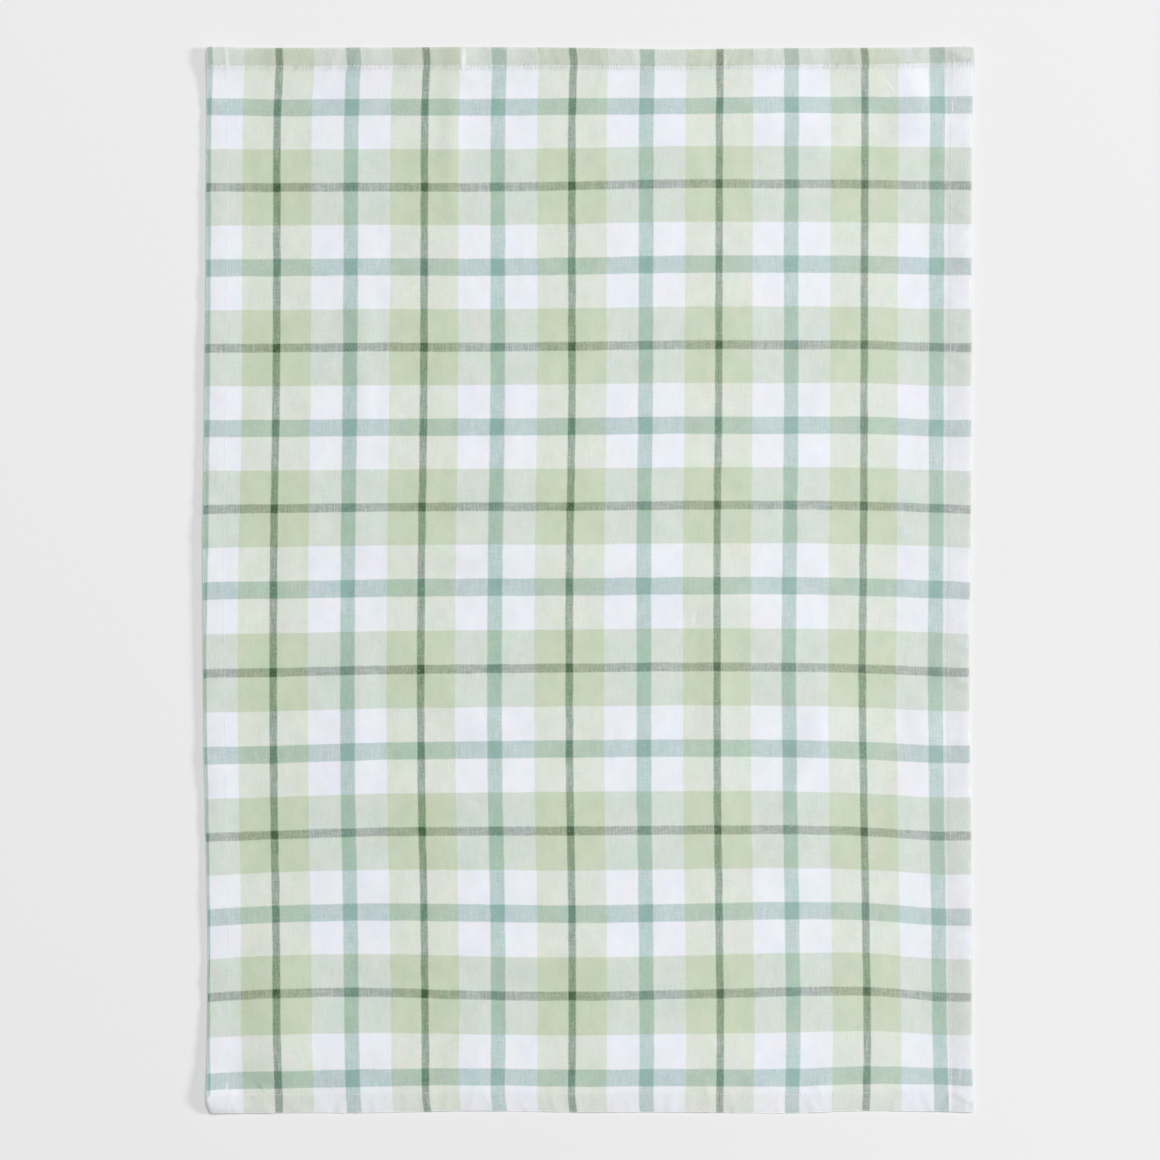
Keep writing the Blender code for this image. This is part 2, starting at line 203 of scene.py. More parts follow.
# Small creases, added as the ripples are. x, y, half_length, half_width and height in mm; heading: degrees
# of the crest from +X; a height below zero is a furrow.
Crease = namedtuple("Crease", "x y heading half_length half_width height")
CREASES = (
    Crease(-238, 341, 90, 15, 3.4, 0.68),
    Crease(8, 341, 94, 12, 2.2, 0.36),
    Crease(177, 341, 104, 13, 2.2, 0.40),
    Crease(236, 337, 82, 20, 3, -0.44),
    Crease(-235, -333, 84, 14, 4, 0.44),
    Crease(-228, -343, 88, 10, 4, 0.45),
    Crease(-160, -338, 82, 12, 2.4, 0.32),
    Crease(-103, -338, 98, 12, 2.4, 0.36),
    Crease(1, -339, 86, 12, 2.2, -0.36),
    Crease(78, -337, 106, 14, 2.6, 0.40),
    Crease(153, -338, 100, 13, 2.4, 0.36),
    Crease(239, -330, 92, 22, 3.2, -0.32),
)

# Sharper ones, too narrow for the mesh's cells: fine relief in the material. The last number: share of a pale
# tone along it, partly where threads are pulled and partly a painted highlight on the crease.
SharpCrease = namedtuple("SharpCrease", "x y heading half_length half_width height pale")
SHARP_CREASES = (
    SharpCrease(199.5, 324.2, -50, 8, 1.4, 0.20, 0.45),
    SharpCrease(71.5, -28.5, 80, 9, 2, -0.25, 0.40),
    SharpCrease(-215, -330.5, -52, 9, 2.6, 0.42, 0.0),
    SharpCrease(-209.3, -332.3, -54, 8, 2.4, 0.16, 0.15),
    SharpCrease(-237.4, -330, 88, 6.5, 1.5, 0.20, 0.65),
    SharpCrease(-239, 341.5, 92, 16, 2.3, 0.25, 0.75),
    SharpCrease(-82.9, 343, 84, 10, 2.6, 0.30, 0.95),
    SharpCrease(92.6, 343.8, 65, 9, 1.5, -0.42, 0.0),
    SharpCrease(89.4, 341.5, 86, 9, 1.4, 0.20, 0.45),
    SharpCrease(236.6, -342, 90, 10, 2, 0.60, 0.0),
    SharpCrease(244, -324, 86, 6, 1, 0.20, 0.40),
    SharpCrease(240.5, 310, 94, 7, 1, 0.20, 0.45),
    SharpCrease(237.5, 336, 88, 9, 1.1, 0.20, 0.50),
)

# Broad soft waves. x, y, half_length, half_width and height in mm; heading: degrees of the crest from +X.
Wave = namedtuple("Wave", "x y heading half_length half_width height")
WAVES = (
    Wave(228, 330, 90, 36, 22, 1.2),
    Wave(200, 331, 138, 107, 31, 0.8),
    Wave(-89, 308, 90, 106, 12, 1.2),
    Wave(62, 287, 110, 46, 25, 1.1),
    Wave(140, 293, 149, 88, 32, 1.1),
    Wave(158, 300, 2, 115, 17, 1.2),
    Wave(225, 315, 60, 91, 23, 1.4),
    Wave(226, 309, 88, 88, 31, 1.5),
    Wave(-89, 166, 87, 78, 27, 0.8),
    Wave(-149, 141, 89, 118, 14, 1.3),
    Wave(-139, 99, 79, 128, 29, 0.9),
    Wave(164, 132, 65, 98, 19, 0.9),
    Wave(-217, 80, 86, 111, 28, 1.4),
    Wave(-182, 49, 90, 120, 22, 1.4),
    Wave(-66, 31, 13, 98, 35, 0.8),
    Wave(-51, 81, 88, 95, 14, 0.8),
    Wave(-24, 65, 0, 115, 30, 1.1),
    Wave(-223, -16, 87, 117, 22, 1.7),
    Wave(-200, 20, 90, 108, 16, 1.4),
    Wave(-121, 20, -4, 108, 21, 1.3),
    Wave(-3, 8, -6, 114, 22, 1.2),
    Wave(94, -16, 157, 114, 28, 1.1),
    Wave(227, 20, 93, 88, 31, 1.4),
    Wave(-199, -59, 65, 101, 32, 1),
    Wave(-89, -77, 133, 84, 21, 1.1),
    Wave(84, -47, 89, 60, 14, 1.4),
    Wave(141, -74, 130, 106, 25, 0.6),
    Wave(-149, -94, 89, 118, 14, 1.1),
    Wave(-68, -143, 4, 107, 23, 1.3),
    Wave(89, -112, 89, 95, 20, 1),
    Wave(137, -144, 68, 89, 14, 1.1),
    Wave(154, -104, 92, 97, 28, 1.2),
    Wave(221, -115, 76, 74, 22, 1.5),
    Wave(222, -90, 104, 47, 15, 0.7),
    Wave(-215, -262, 96, 104, 33, 1.9),
    Wave(-197, -270, 73, 113, 35, 1.8),
    Wave(-31, -249, -3, 116, 21, 1.4),
    Wave(58, -240, 12, 104, 34, 1.5),
    Wave(-185, -322, -1, 87, 25, 1.7),
    Wave(-155, -307, -7, 103, 31, 1.7),
    Wave(-73, -316, 92, 73, 30, 1.4),
    Wave(10, -284, 92, 114, 27, 0.6),
    Wave(69, -315, 3, 115, 33, 1.6),
)

# ------------------------------------------------------------------------------
# The woven check: width in mm of each stripe of one repeat, starting at the middle of a teal stripe

Stripe = namedtuple("Stripe", "yarn width")
WARP_REPEAT = (
    Stripe("teal", 4.75), Stripe("white", 21.05), Stripe("green", 20.20), Stripe("dark", 4.85),
    Stripe("green", 20.20), Stripe("white", 21.05), Stripe("teal", 4.75),
)
WEFT_REPEAT = (
    Stripe("teal", 5.65), Stripe("white", 22.30), Stripe("green", 22.35), Stripe("dark", 5.65),
    Stripe("green", 22.35), Stripe("white", 22.30), Stripe("teal", 5.65),
)
# first_teal: middle of the teal stripe at the left edge, or of the one nearest the top end
StripeSet = namedtuple("StripeSet", "first_teal repeat direction")
WARP = StripeSet(-252.9 * MM, WARP_REPEAT, "warp")
WEFT = StripeSet(311.4 * MM, WEFT_REPEAT, "weft")

# Dyed yarns: linear colour of the warp yarns and of the slightly duller weft yarns, and how well each covers.
# The share of a warp yarn in the face is its own cover, less its weft's cover over a half.
Yarn = namedtuple("Yarn", "warp weft warp_cover weft_cover")
YARNS = {
    "white": Yarn((0.766, 0.785, 0.850), (0.821, 0.845, 0.891), 0.496, 0.475),
    "green": Yarn((0.586, 0.643, 0.486), (0.501, 0.600, 0.443), 0.527, 0.509),
    "teal": Yarn((0.259, 0.418, 0.379), (0.261, 0.418, 0.383), 0.521, 0.483),
    "dark": Yarn((0.052, 0.110, 0.046), (0.065, 0.114, 0.052), 0.500, 0.423),
}
THREAD_PITCH = 0.46 * MM        # 22 yarns to the centimetre
STRIPE_BORDER = 0.30 * MM       # half the width over which one stripe turns into the next


# ------------------------------------------------------------------------------
# Shape functions, on arrays of flat cloth coordinates

def bell(offset, half_width):
    """1 at the middle, 0 from half_width outwards, smooth between."""
    share = np.clip(np.abs(offset) / half_width, 0.0, 1.0)
    return np.where(share < 1.0, np.cos(0.5 * math.pi * share) ** 2, 0.0)


def smooth_curve(knots, values, at):
    """A smooth curve through values at knots, read at an array of places; level past the ends."""
    knots = np.asarray(knots, float)
    values = np.asarray(values, float)
    at = np.clip(at, knots[0], knots[-1])
    start = np.clip(np.searchsorted(knots, at, side="right") - 1, 0, len(knots) - 2)
    end = start + 1
    before = np.maximum(start - 1, 0)
    after = np.minimum(end + 1, len(knots) - 1)
    span = knots[end] - knots[start]
    share = (at - knots[start]) / span
    slope_in = (values[end] - values[before]) / (knots[end] - knots[before]) * span
    slope_out = (values[after] - values[start]) / (knots[after] - knots[start]) * span
    square, cube = share ** 2, share ** 3
    return (
        (2 * cube - 3 * square + 1) * values[start]
        + (cube - 2 * square + share) * slope_in
        + (3 * square - 2 * cube) * values[end]
        + (cube - square) * slope_out
    )


def knot_weights(knots, at):
    """How much each knot counts at each place, so that a table can be read in two directions."""
    basis = np.eye(len(knots))
    return np.stack([smooth_curve(knots, row, at) for row in basis], axis=-1)


def lie_value(table, across, along):
    """Read a lie table, in metres, at points of the cloth."""
    rows = knot_weights([row.along * MM for row in table], along)
    columns = knot_weights([place * MM for place in LIE_COLUMNS], across)
    values = np.array([row.values for row in table]) * MM
    return np.einsum("...r,rc,...c->...", rows, values, columns)


def edge_insets(across, along):
    """Distance in from each edge, and the place along it."""
    return {
        "left": (0.5 * WIDTH + across, along),
        "right": (0.5 * WIDTH - across, along),
        "bottom": (0.5 * LENGTH + along, across),
        "top": (0.5 * LENGTH - along, across),
    }


def ripple_table():
    """Seeded small ripples along the four hems, as (edge, place, half width, height, lean, reach)."""
    draw = np.random.default_rng(RIPPLE_SEED)
    ripples = []
    for edge, size, deeper in RIPPLE_EDGES:
        for step in range(int(size / RIPPLE_SPACING)):
            ripples.append((
                edge,
                (step + draw.uniform(0.1, 0.9)) * RIPPLE_SPACING - 0.5 * size,
                draw.uniform(*RIPPLE_HALF_WIDTH),
                draw.uniform(*RIPPLE_HEIGHT) * deeper,
                draw.uniform(-RIPPLE_LEAN, RIPPLE_LEAN),
                draw.uniform(*RIPPLE_REACH),
            ))
    return ripples


def ridge(line, across, along):
    """A soft straight ridge on a Wave's or Crease's line."""
    turn = math.radians(line.heading)
    from_x, from_y = across - line.x * MM, along - line.y * MM
    lengthwise = from_x * math.cos(turn) + from_y * math.sin(turn)
    sideways = from_y * math.cos(turn) - from_x * math.sin(turn)
    return line.height * MM * bell(lengthwise, line.half_length * MM) * bell(sideways, line.half_width * MM)


def corner_touch(across, along):
    """1 at the place near each corner where the cloth touches down, 0 away from it."""
    from_x = np.abs(across) - (0.5 * WIDTH - TOUCH_SIDE)
    from_y = np.abs(along) - (0.5 * LENGTH - TOUCH_END)
    return bell(np.hypot(from_x, from_y), TOUCH_REACH)


def underside_height(across, along):
    """How far the cloth's underside stands off the surface."""
    insets = edge_insets(across, along)
    height = np.zeros_like(across)
    for edge, points in EDGE_LIFT.items():
        inset, place = insets[edge]
        lift = smooth_curve([point.along * MM for point in points], [point.lift for point in points], place)
        height += np.maximum(lift, 0.0) * MM * bell(inset, LIFT_REACH)
    for pucker in PUCKERS:
        inset, place = insets[pucker.edge]
        sideways = place - pucker.at * MM - pucker.lean * inset
        height += pucker.height * MM * bell(sideways, pucker.half_width * MM) * bell(inset, PUCKER_REACH)
    for wave in WAVES:
        height += ridge(wave, across, along)
    return height * (1.0 - corner_touch(across, along))


def ripple_height(across, along):
    """Height of the small ripples and creases, to add to the underside's."""
    insets = edge_insets(across, along)
    height = np.zeros_like(across)
    for edge, at, half_width, peak, lean, reach in RIPPLES:
        inset, place = insets[edge]
        height += peak * bell(place - at - lean * inset, half_width) * bell(inset, reach)
    for crease in CREASES:
        height += ridge(crease, across, along)
    rolled = np.clip(1.0 - insets["right"][0] / ROLL_REACH, 0.0, 1.0)
    return height - ROLL_DROP * rolled ** 2


def hem_rise(position, half_size, stitch_depth):
    """Rise of the face over the single cloth, from how far in from its nearer edge a point lies."""
    share = (half_size - np.abs(position)) / stitch_depth
    insets = [point.inset for point in HEM_RISE]
    return np.maximum(smooth_curve(insets, [point.rise for point in HEM_RISE], share), 0.0) * MM


def laid_place(x, y):
    """Where a point of the hemmed cloth is drawn to as it lies, seen from above, its corners rounded."""
    low_left = (x < 0.0) & (y < 0.0)
    round_x, round_y = (np.where(low_left, low, plain) for low, plain in zip(LOW_LEFT_ROUND, CORNER_ROUND))
    side_share = np.clip(1.0 - (0.5 * WIDTH - np.abs(x)) / round_x, 0.0, 1.0)
    end_share = np.clip(1.0 - (0.5 * LENGTH - np.abs(y)) / round_y, 0.0, 1.0)
    pull_x = round_x * side_share * (1.0 - np.sqrt(1.0 - 0.5 * end_share ** 2))
    pull_y = round_y * end_share * (1.0 - np.sqrt(1.0 - 0.5 * side_share ** 2))
    return x + lie_value(SWAY, x, y) - np.sign(x) * pull_x, y + lie_value(BOW, x, y) - np.sign(y) * pull_y


def fold_over(flat, half_size, stitch_depth):
    """Fold one coordinate of the flat cloth over at both edges.

    Gives the place after folding, the share of the way round the fold (0 on the face, 1 on the turned
    cloth) and the height that the turned cloth's own inner edge curls up.
    """
    flap_depth = stitch_depth + FLAP_PAST_STITCH
    past = np.abs(flat) - (half_size - FOLD_RADIUS)
    round_fold = math.pi * FOLD_RADIUS
    angle = np.clip(past / FOLD_RADIUS, 0.0, math.pi)
    flap = np.clip(past - round_fold, 0.0, flap_depth - FOLD_RADIUS)
    tuck = np.clip((past - round_fold - flap_depth + FOLD_RADIUS) / TUCK_RADIUS, 0.0, math.pi)
    place = np.minimum(np.abs(flat), half_size - FOLD_RADIUS) + FOLD_RADIUS * np.sin(angle)
    place -= flap + TUCK_RADIUS * np.sin(tuck)
    turned = 0.5 - 0.5 * np.cos(angle)
    curl = TUCK_RADIUS * (1.0 - np.cos(tuck))
    return np.sign(flat) * place, turned, curl


def cloth_points(flat_across, flat_along):
    """Where points of the flat, cut cloth lie once it is hemmed and laid down."""
    x, side_turned, side_curl = fold_over(flat_across, 0.5 * WIDTH, SIDE_STITCH)
    y, end_turned, end_curl = fold_over(flat_along, 0.5 * LENGTH, END_STITCH)
    side_rise = hem_rise(x, 0.5 * WIDTH, SIDE_STITCH)
    end_rise = hem_rise(y, 0.5 * LENGTH, END_STITCH)
    face_level = CLOTH_LEVEL + side_rise + end_rise
    side_flap_level = FLAP_LEVEL + end_rise + side_curl
    end_flap_level = FLAP_LEVEL + CORNER_LAYER * end_rise * side_turned + end_curl
    level = face_level + (side_flap_level - face_level) * side_turned
    level += (end_flap_level - level) * end_turned
    turned = np.maximum(side_turned, end_turned)
    z = underside_height(x, y) + ripple_height(x, y) * (1.0 - (1.0 - TURNED_RIPPLE) * turned) + level
    return (*laid_place(x, y), z)


RIPPLES = ripple_table()


# ------------------------------------------------------------------------------
# The cloth

BODY_ACROSS = 1.75 * MM         # finer across than along, as most creases run along the towel
BODY_ALONG = 2.9 * MM
HEM_CELL = 1.35 * MM
FLAP_CELL = 2.3 * MM
FOLD_STEPS = 6
TUCK_STEPS = 3
FINE_HEM = 1.75                 # the hem's finer cells reach this many stitch depths in


def steps_between(low, high, cell):
    """Even steps of about one cell."""
    return list(np.linspace(low, high, max(2, round((high - low) / cell) + 1)))


def flat_half(half_size, stitch_depth):
    """Half the size of the flat, cut cloth: to the fold, round it, over the turned strip and its own edge."""
    return (
        half_size + (math.pi - 1.0) * FOLD_RADIUS
        + stitch_depth + FLAP_PAST_STITCH - FOLD_RADIUS
        + math.pi * TUCK_RADIUS
    )


def grid_lines(half_size, stitch_depth, body_cell):
    """Places of the grid lines over the flat, cut cloth: fine at the folds and hems, wider in the middle."""
    fold_start = half_size - FOLD_RADIUS
    fold_end = fold_start + math.pi * FOLD_RADIUS
    hem_start = half_size - FINE_HEM * stitch_depth
    flap_end = flat_half(half_size, stitch_depth) - math.pi * TUCK_RADIUS
    tuck_end = flat_half(half_size, stitch_depth)
    half = steps_between(hem_start, fold_start, HEM_CELL)[:-1]
    half += list(np.linspace(fold_start, fold_end, FOLD_STEPS + 1))[:-1]
    half += steps_between(fold_end, flap_end, FLAP_CELL)[:-1]
    half += list(np.linspace(flap_end, tuck_end, TUCK_STEPS + 1))
    body = steps_between(-hem_start, hem_start, body_cell)
    return np.array([-place for place in reversed(half)] + body[1:-1] + half)


def build_cloth():
    """A grid over the flat cloth, each point then folded and laid, with its flat place kept as a UV."""
    across_lines = grid_lines(0.5 * WIDTH, SIDE_STITCH, BODY_ACROSS)
    along_lines = grid_lines(0.5 * LENGTH, END_STITCH, BODY_ALONG)
    across_cells, along_cells = len(across_lines) - 1, len(along_lines) - 1
    shape = bmesh.new()
    bmesh.ops.create_grid(shape, x_segments=across_cells, y_segments=along_cells, size=0.5)
    mesh = bpy.data.meshes.new("woven_cloth")
    shape.to_mesh(mesh)
    shape.free()

    grid = np.empty(len(mesh.vertices) * 3)
    mesh.vertices.foreach_get("co", grid)
    grid = grid.reshape(-1, 3)
    across = across_lines[np.rint((grid[:, 0] + 0.5) * across_cells).astype(int)]
    along = along_lines[np.rint((grid[:, 1] + 0.5) * along_cells).astype(int)]
    laid = np.stack(cloth_points(across, along), axis=1)
    mesh.vertices.foreach_set("co", laid.ravel())

    corners = np.empty(len(mesh.loops), dtype=int)
    mesh.loops.foreach_get("vertex_index", corners)
    flat_map = mesh.uv_layers.new(name="flat")
    flat_map.data.foreach_set("uv", np.stack((across[corners], along[corners]), axis=1).ravel())
    mesh.shade_smooth()
    mesh.update()

    cloth = bpy.data.objects.new("woven_cloth", mesh)
    bpy.context.scene.collection.objects.link(cloth)
    return cloth


# ------------------------------------------------------------------------------
# The stitches

STITCH_PITCH = 3.0 * MM
STITCH_LENGTH = 2.5 * MM
STITCH_RADIUS = 0.14 * MM
STITCH_MARGIN = 2.0 * MM        # from the towel's edge to the first stitch of a line
StitchPoint = namedtuple("StitchPoint", "share height radius")
STITCH_SHAPE = (                # along one stitch: share of its length, height in radii, share of radius
    StitchPoint(-0.50, -1.5, 0.7),
    StitchPoint(-0.36, 0.1, 1.0),
    StitchPoint(0.00, 0.5, 1.0),
    StitchPoint(0.36, 0.1, 1.0),
    StitchPoint(0.50, -1.5, 0.7),
)


def side_line(place, side):
    """A line along the left (side -1) or right (+1) hem, at the same depth from the edge as it lies."""
    edge, line = (np.full_like(place, side * (0.5 * WIDTH - inset)) for inset in (0.0, SIDE_STITCH))
    return line + lie_value(SWAY, edge, place) - lie_value(SWAY, line, place), place


def end_line(place, end):
    """A line along the bottom (end -1) or top (+1) hem, at the same depth from the edge as it lies."""
    edge, line = (np.full_like(place, end * (0.5 * LENGTH - inset)) for inset in (0.0, END_STITCH))
    return place, line + lie_value(BOW, place, edge) - lie_value(BOW, place, line)


def stitch_lines():
    """For each of the four lines half its length, and a function from a place along it to the hemmed face."""
    return (
        (0.5 * LENGTH, lambda place: side_line(place, -1.0)),
        (0.5 * LENGTH, lambda place: side_line(place, 1.0)),
        (0.5 * WIDTH, lambda place: end_line(place, -1.0)),
        (0.5 * WIDTH, lambda place: end_line(place, 1.0)),
    )


def stitch_points(x, y, on_back):
    """Where thread points of the hemmed cloth lie, on its face or on the turned cloth at its back."""
    side_rise = hem_rise(x, 0.5 * WIDTH, SIDE_STITCH)
    end_rise = hem_rise(y, 0.5 * LENGTH, END_STITCH)
    level = FLAP_LEVEL if on_back else CLOTH_LEVEL + side_rise + end_rise
    share = TURNED_RIPPLE if on_back else 1.0
    z = underside_height(x, y) + ripple_height(x, y) * share + level
    return (*laid_place(x, y), z)


def build_stitches():
    """Every stitch as a short tube of thread that dips into the cloth at both ends, front and back."""
    thread = bpy.data.curves.new("hem_stitches", "CURVE")
    thread.dimensions = "3D"
    thread.bevel_depth = STITCH_RADIUS
    thread.bevel_resolution = 1
    thread.use_fill_caps = True
    for half_length, to_face in stitch_lines():
        count = int(2 * (half_length - STITCH_MARGIN) / STITCH_PITCH)
        middles = (np.arange(count) - 0.5 * (count - 1)) * STITCH_PITCH
        for on_back in (False, True):
            offset = 0.5 * STITCH_PITCH if on_back else 0.0
            up = -1.0 if on_back else 1.0
            rows = []
            for point in STITCH_SHAPE:
                x, y = to_face(middles + offset + point.share * STITCH_LENGTH)
                x, y, z = stitch_points(x, y, on_back)
                z = z + up * point.height * STITCH_RADIUS
                rows.append(np.stack((x, y, z, np.ones_like(x)), axis=1))
            for stitch in np.stack(rows, axis=1):
                spline = thread.splines.new("POLY")
                spline.points.add(len(STITCH_SHAPE) - 1)
                spline.points.foreach_set("co", stitch.ravel())
                spline.points.foreach_set("radius", [point.radius for point in STITCH_SHAPE])
                spline.use_smooth = True
    rough = bpy.data.objects.new("hem_stitches_curve", thread)
    bpy.context.scene.collection.objects.link(rough)
    bpy.context.view_layer.update()
    solid = bpy.data.meshes.new_from_object(rough.evaluated_get(bpy.context.evaluated_depsgraph_get()))
    solid.name = "hem_stitches"
    bpy.data.objects.remove(rough, do_unlink=True)
    stitches = bpy.data.objects.new("hem_stitches", solid)
    bpy.context.scene.collection.objects.link(stitches)
    return stitches


# ------------------------------------------------------------------------------
# Materials

class Graph:
    """Adds nodes to a material and joins them."""

    def __init__(self, name):
        self.material = bpy.data.materials.new(name)
        self.material.use_nodes = True
        self.tree = self.material.node_tree
        self.shader = self.tree.nodes["Principled BSDF"]

    def add(self, kind, **settings):
        node = self.tree.nodes.new(kind)
        for key, value in settings.items():
            setattr(node, key, value)
        return node

    def feed(self, socket, value):
        """Join an output to a socket, or set the socket to a plain value."""
        if isinstance(value, bpy.types.NodeSocket):
            self.tree.links.new(value, socket)
        else:
            socket.default_value = value

    def math(self, operation, *values):
        node = self.add("ShaderNodeMath", operation=operation)
        for socket, value in zip(node.inputs, values):
            self.feed(socket, value)
        return node.outputs[0]

    def vector(self, x, y, z=0.0):
        node = self.add("ShaderNodeCombineXYZ")
        for socket, value in zip(node.inputs, (x, y, z)):
            self.feed(socket, value)
        return node.outputs[0]

    def split(self, vector):
        node = self.add("ShaderNodeSeparateXYZ")
        self.feed(node.inputs[0], vector)
        return node.outputs

    def mix(self, share, first, second, blend="MIX"):
        node = self.add("ShaderNodeMix", data_type="RGBA", blend_type=blend)
        self.feed(node.inputs[0], share)
        self.feed(node.inputs[6], first)
        self.feed(node.inputs[7], second)
        return node.outputs[2]

    def power(self, colour, exponent):
        node = self.add("ShaderNodeGamma")
        self.feed(node.inputs[0], colour)
        self.feed(node.inputs[1], exponent)
        return node.outputs[0]

    def brighten(self, colour, factor):
        """Multiply a colour by one number."""
        return self.mix(1.0, colour, self.vector(factor, factor, factor), "MULTIPLY")

    def noise(self, vector, detail=1.0, roughness=0.5):
        """Smooth noise, about 0.5 on average, one lump to each unit of the vector."""
        node = self.add("ShaderNodeTexNoise", noise_dimensions="2D")
        self.feed(node.inputs["Vector"], vector)
        node.inputs["Scale"].default_value = 1.0
        node.inputs["Detail"].default_value = detail
        node.inputs["Roughness"].default_value = roughness
        return node.outputs[0]

    def smooth_step(self, value, low, high):
        node = self.add("ShaderNodeMapRange", interpolation_type="SMOOTHSTEP")
        self.feed(node.inputs["Value"], value)
        node.inputs["From Min"].default_value = low
        node.inputs["From Max"].default_value = high
        return node.outputs[0]

    def rest_of(self, value):
        """What the value leaves of 1."""
        return self.math("SUBTRACT", 1.0, value)

    def fall(self, value, low, high):
        """1 up to low, 0 from high on, smooth between."""
        return self.rest_of(self.smooth_step(value, low, high))

    def around(self, noise, swing):
        """Turn noise into a number about zero, as large as swing."""
        return self.math("MULTIPLY", self.math("SUBTRACT", noise, 0.5), 2.0 * swing)

    def chain(self, operation, *values):
        """One operation over all the values, from the first on."""
        result = values[0]
        for value in values[1:]:
            result = self.math(operation, result, value)
        return result

    def total(self, *values):
        return self.chain("ADD", *values)

    def product(self, *values):
        return self.chain("MULTIPLY", *values)

    def shade(self, colour, roughness, specular=None, relief=None, strength=1.0):
        """Feed the shader: its colour, its plain numbers, and relief in metres as bumps."""
        self.feed(self.shader.inputs["Base Color"], colour)
        self.shader.inputs["Roughness"].default_value = roughness
        if specular is not None:
            self.shader.inputs["Specular IOR Level"].default_value = specular
        if relief is not None:
            bump = self.add("ShaderNodeBump")
            bump.inputs["Strength"].default_value = strength
            bump.inputs["Distance"].default_value = 1.0
            self.feed(bump.inputs["Height"], relief)
            self.feed(self.shader.inputs["Normal"], bump.outputs[0])
        return self.material


REPEATS_AHEAD = 64.0            # more than lie on either side of the first teal stripe


def stripe_yarn(graph, place, stripes):
    """Square root of the yarn's colour at a place across a set of stripes, and its cover."""
    size = sum(stripe.width for stripe in stripes.repeat) * MM
    repeats = graph.math("DIVIDE", graph.math("SUBTRACT", place, stripes.first_teal), size)
    ramp = graph.add("ShaderNodeValToRGB")
    stops = ramp.color_ramp.elements
    soft = STRIPE_BORDER / size
    edge = 0.0
    for stripe in stripes.repeat:
        start, edge = edge, edge + stripe.width * MM / size
        yarn = YARNS[stripe.yarn]
        colour = getattr(yarn, stripes.direction)
        for position in (start + soft, edge - soft):
            stop = stops[0] if position == soft else stops.new(position)
            stop.position = position
            stop.color = (*(math.sqrt(part) for part in colour), getattr(yarn, stripes.direction + "_cover"))
    stops.remove(stops[-1])
    graph.feed(ramp.inputs[0], graph.math("FRACT", graph.math("ADD", repeats, REPEATS_AHEAD)))
    return ramp.outputs


# Which yarn is on top: how much the weave and the thick and thin places of both yarns move it
WEAVE_SHARE = 0.24
WARP_SLUB_SHARE = 0.21
WEFT_SLUB_SHARE = -0.12
SPECK_SHARE = 0.08
STREAK_ACROSS = 0.9 * MM        # width of a slub streak in a warp yarn
STREAK_ALONG = 12.0 * MM        # and its length
BAR_ACROSS = 9.0 * MM           # length of a slub in a weft yarn
BAR_ALONG = 1.3 * MM            # and its width
SPECK = 1.5 * MM

WANDER = 0.35 * MM              # how far a yarn strays from its line
WANDER_LENGTH = 18.0 * MM       # and over what length along it and width across it
WANDER_WIDTH = 9.0 * MM
LOW_LEFT_PULL = 3.3 * MM        # how much more of the cloth turns under at the low left corner
PULL_AT_END = (0.334, 0.339)    # from where to where that sets in: metres below the middle
PULL_AT_SIDE = (-0.2505, -0.2405)   # and right of it

FLECK_ACROSS = 1.0 * MM         # undyed flecks in the yarns
FLECK_ALONG = 2.4 * MM
FLECK_RANGE = (0.54, 0.74)      # of the noise, over which a fleck appears
FLECK_COLOUR = (0.74, 0.78, 0.77, 1.0)
FLECK_SHARE = 0.12
PAINTED_HAZE = 0.021                    # share of a painted pale haze in the middle; none at the left, most at the right
PAINTED_HAZE_SLOPE = 4.0                # to each metre
# pale tone of the painted haze, and of the sharp creases' pulled threads and painted highlights
PALE_HAZE_AND_CREASE_COLOUR = (0.84, 0.85, 0.87, 1.0)

TINT_SIZE = 22.0 * MM
TINT = 0.078                    # how much red and blue wander on their own
SHARED_TINT = 0.075             # and together, against green
SHARED_PINK = 0.6               # share of that in red and blue
SHARED_GREEN = -0.4             # and in green
RIGHTWARD_PAINTED_LIGHT = 0.12                     # painted light: brighter to the right by this share to each metre
GRAIN_ACROSS = 12.0 * MM        # largest lumps of the cloth's uneven tone
GRAIN_ALONG = 18.0 * MM
GRAIN = 0.052
FUZZ = 0.9 * MM                 # size and depth of its finest unevenness
FUZZ_TONE = 0.030

TICK_ACROSS = 0.9 * MM          # painted shade of small upright pinches at the stitches of the two end hems
TICK_ALONG = 7.0 * MM
TICK_RANGE = (0.50, 0.72)       # of the noise, over which a pinch deepens
TICK_PATCH = (17.0 * MM, 1.0)   # size of the places where they are many, across and along
PATCH_RANGE = (0.30, 0.66)
TICK_REACH = (0.8 * MM, 4.0 * MM)
# how deep the painted shade of the pinches goes
PINCH_SHADE = 0.20
LOW_PINCH_SHADE = 0.25                 # share of that at the bottom hem

